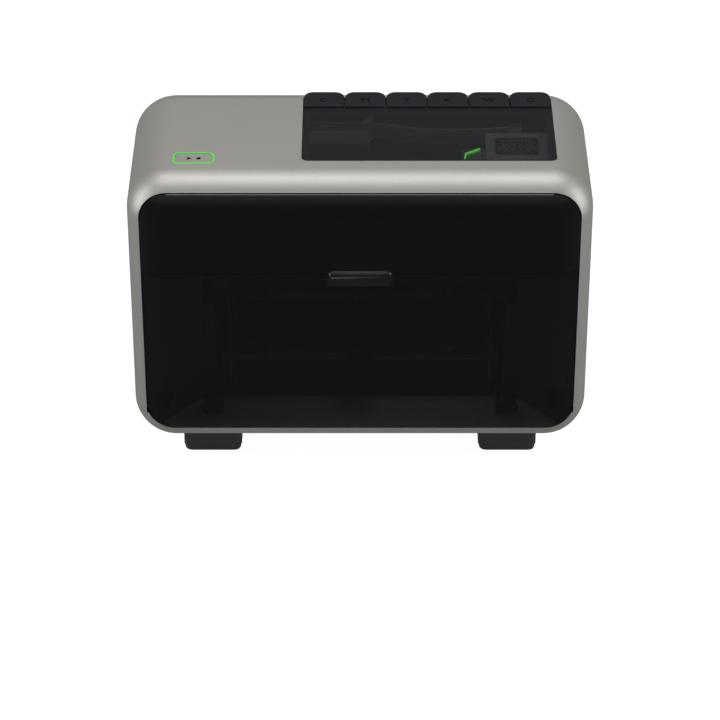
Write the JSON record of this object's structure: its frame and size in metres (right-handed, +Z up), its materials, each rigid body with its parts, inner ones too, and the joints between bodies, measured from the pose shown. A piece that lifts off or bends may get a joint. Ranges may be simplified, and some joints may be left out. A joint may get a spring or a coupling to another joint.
{
  "type": "flatbed uv printer",
  "caption": "Desktop flatbed UV printer with a rounded cabinet, a drop-down smoked front door, a top window, pull-up ink cartridges, a belt-driven carriage and a lifting bed.",
  "frame": {"origin": "on the floor under the middle of the cabinet, at the height of the feet's undersides", "axes": "+X to the right seen from the front, +Y to the back, +Z up"},
  "size_m": [0.52, 0.245, 0.3745],
  "materials": {
    "shell_paint": "fine metallic satin",
    "rear_plastic": "fine texture",
    "dark_plastic": "satin",
    "smoked_glass": "smoked, translucent",
    "gloss_black": "gloss",
    "cartridge_plastic": "satin",
    "button_plastic": "satin",
    "light_ring": "lit, diffusing",
    "chamber_plastic": "satin",
    "zinc_steel": "zinc plated",
    "bright_steel": "ground",
    "aluminium": "anodised",
    "bed_coat": "black anodised",
    "motor_body": "satin black",
    "belt_rubber": "matte",
    "tube_plastic": "translucent",
    "head_metal": "brushed",
    "lamp_metal": "finned, black anodised",
    "board_green": "solder mask"
  },
  "bodies": {
    "cabinet": {"apron": "chamber_plastic", "base_plate": "zinc_steel", "button_light_ring": "light_ring", "camera_module": "dark_plastic", "cap_station": "dark_plastic", "carriage_belt": "belt_rubber", "carriage_motor": "motor_body", "case_screws": "bright_steel", "chamber_walls": "chamber_plastic", "circuit_boards": "board_green", "cleaning_bay": "dark_plastic", "fan_frame": "dark_plastic", "feet": "dark_plastic", "front_frame": "dark_plastic", "gantry_beam": "aluminium", "grip_scoop": "dark_plastic", "guide_rail": "bright_steel", "hinge_brackets": "zinc_steel", "ink_bay": "dark_plastic", "ink_tubes": "tube_plastic", "lift_guides": "bright_steel", "lift_motors": "motor_body", "outer_shell": "shell_paint", "power_inlet": "dark_plastic", "power_supply": "zinc_steel", "rear_panel": "rear_plastic", "rear_wall": "zinc_steel", "side_frames": "zinc_steel", "top_window": "smoked_glass", "upper_fascia": "gloss_black", "window_frame": "dark_plastic"},
    "door": {"front_door": "smoked_glass", "door_pull": "dark_plastic", "hinge_arms": "zinc_steel"},
    "button": {"start_button": "button_plastic"},
    "carriage": {"bearing_block": "bright_steel", "carriage_frame": "aluminium", "carriage_cover": "dark_plastic", "print_head": "head_metal", "uv_lamps": "lamp_metal", "carriage_tubes": "tube_plastic"},
    "left_pulley": {"motor_pulley": "aluminium"},
    "right_pulley": {"idler_pulley": "aluminium"},
    "lift": {"lift_frame": "aluminium", "bed_motor": "motor_body"},
    "left_screw": {"lead_screw_left": "bright_steel"},
    "right_screw": {"lead_screw_right": "bright_steel"},
    "bed": {"bed_plate": "bed_coat", "bed_bearings": "aluminium"},
    "bed_drive": {"bed_screw": "bright_steel"},
    "cap": {"cap_block": "belt_rubber"},
    "cleaning": {"cleaning_cartridge": "dark_plastic"},
    "fan": {"fan_rotor": "dark_plastic"},
    "rocker": {"power_rocker": "dark_plastic"},
    "cyan_cartridge": {"cartridge_cyan": "cartridge_plastic"},
    "magenta_cartridge": {"cartridge_magenta": "cartridge_plastic"},
    "yellow_cartridge": {"cartridge_yellow": "cartridge_plastic"},
    "black_cartridge": {"cartridge_black": "cartridge_plastic"},
    "white_cartridge": {"cartridge_white": "cartridge_plastic"},
    "gloss_cartridge": {"cartridge_gloss": "cartridge_plastic"}
  },
  "joints": [
    {"name": "door_hinge", "type": "hinge", "parent": "cabinet", "child": "door", "pos_m": [0, -0.1095, 0.072], "axis": [1, 0, 0], "range_deg": [0, 90]},
    {"name": "start_press", "type": "slide", "parent": "cabinet", "child": "button", "axis": [0, 0, -1], "range_m": [0, 0.0008], "stiffness_N_per_m": 900, "springref_m": -0.0002},
    {"name": "carriage_slide", "type": "slide", "parent": "cabinet", "child": "carriage", "axis": [1, 0, 0], "range_m": [-0.35, 0], "deforming": ["carriage_tubes"]},
    {"name": "left_pulley_spin", "type": "hinge", "parent": "cabinet", "child": "left_pulley", "pos_m": [-0.21, 0.049, 0.318], "axis": [0, 1, 0], "range_deg": [-2520, 20]},
    {"name": "right_pulley_spin", "type": "hinge", "parent": "cabinet", "child": "right_pulley", "pos_m": [0.21, 0.049, 0.318], "axis": [0, 1, 0], "range_deg": [-2520, 20]},
    {"name": "lift_slide", "type": "slide", "parent": "cabinet", "child": "lift", "axis": [0, 0, 1], "range_m": [0, 0.06]},
    {"name": "left_screw_spin", "type": "hinge", "parent": "cabinet", "child": "left_screw", "pos_m": [-0.152, 0.078, 0.12], "axis": [0, 0, 1], "range_deg": [-20, 5420]},
    {"name": "right_screw_spin", "type": "hinge", "parent": "cabinet", "child": "right_screw", "pos_m": [0.152, 0.078, 0.12], "axis": [0, 0, 1], "range_deg": [-20, 5420]},
    {"name": "bed_slide", "type": "slide", "parent": "lift", "child": "bed", "axis": [0, 1, 0], "range_m": [-0.045, 0.045]},
    {"name": "bed_screw_spin", "type": "hinge", "parent": "lift", "child": "bed_drive", "pos_m": [0, 0.02, 0.101], "axis": [0, 1, 0], "range_deg": [-4070, 4070]},
    {"name": "cap_slide", "type": "slide", "parent": "cabinet", "child": "cap", "axis": [0, 0, -1], "range_m": [0, 0.006]},
    {"name": "cleaning_slide", "type": "slide", "parent": "cabinet", "child": "cleaning", "axis": [0, 1, 0], "range_m": [0, 0.145]},
    {"name": "fan_spin", "type": "hinge", "parent": "cabinet", "child": "fan", "pos_m": [-0.15, 0.111, 0.262], "axis": [0, 1, 0], "continuous": true},
    {"name": "power_rocker_tilt", "type": "hinge", "parent": "cabinet", "child": "rocker", "pos_m": [-0.171, 0.1155, 0.13], "axis": [1, 0, 0], "range_deg": [-14, 0]},
    {"name": "cyan_lift_out", "type": "slide", "parent": "cabinet", "child": "cyan_cartridge", "axis": [0, 0, 1], "range_m": [0, 0.135]},
    {"name": "magenta_lift_out", "type": "slide", "parent": "cabinet", "child": "magenta_cartridge", "axis": [0, 0, 1], "range_m": [0, 0.135]},
    {"name": "yellow_lift_out", "type": "slide", "parent": "cabinet", "child": "yellow_cartridge", "axis": [0, 0, 1], "range_m": [0, 0.135]},
    {"name": "black_lift_out", "type": "slide", "parent": "cabinet", "child": "black_cartridge", "axis": [0, 0, 1], "range_m": [0, 0.135]},
    {"name": "white_lift_out", "type": "slide", "parent": "cabinet", "child": "white_cartridge", "axis": [0, 0, 1], "range_m": [0, 0.135]},
    {"name": "gloss_lift_out", "type": "slide", "parent": "cabinet", "child": "gloss_cartridge", "axis": [0, 0, 1], "range_m": [0, 0.135]}
  ],
  "couplings": [
    {"joint": "left_pulley_spin", "follows": "carriage_slide", "rad_per_m": 121.95},
    {"joint": "right_pulley_spin", "follows": "carriage_slide", "rad_per_m": 121.95},
    {"joint": "left_screw_spin", "follows": "lift_slide", "rad_per_m": 1570.8},
    {"joint": "right_screw_spin", "follows": "lift_slide", "rad_per_m": 1570.8},
    {"joint": "bed_screw_spin", "follows": "bed_slide", "rad_per_m": 1570.8}
  ]
}
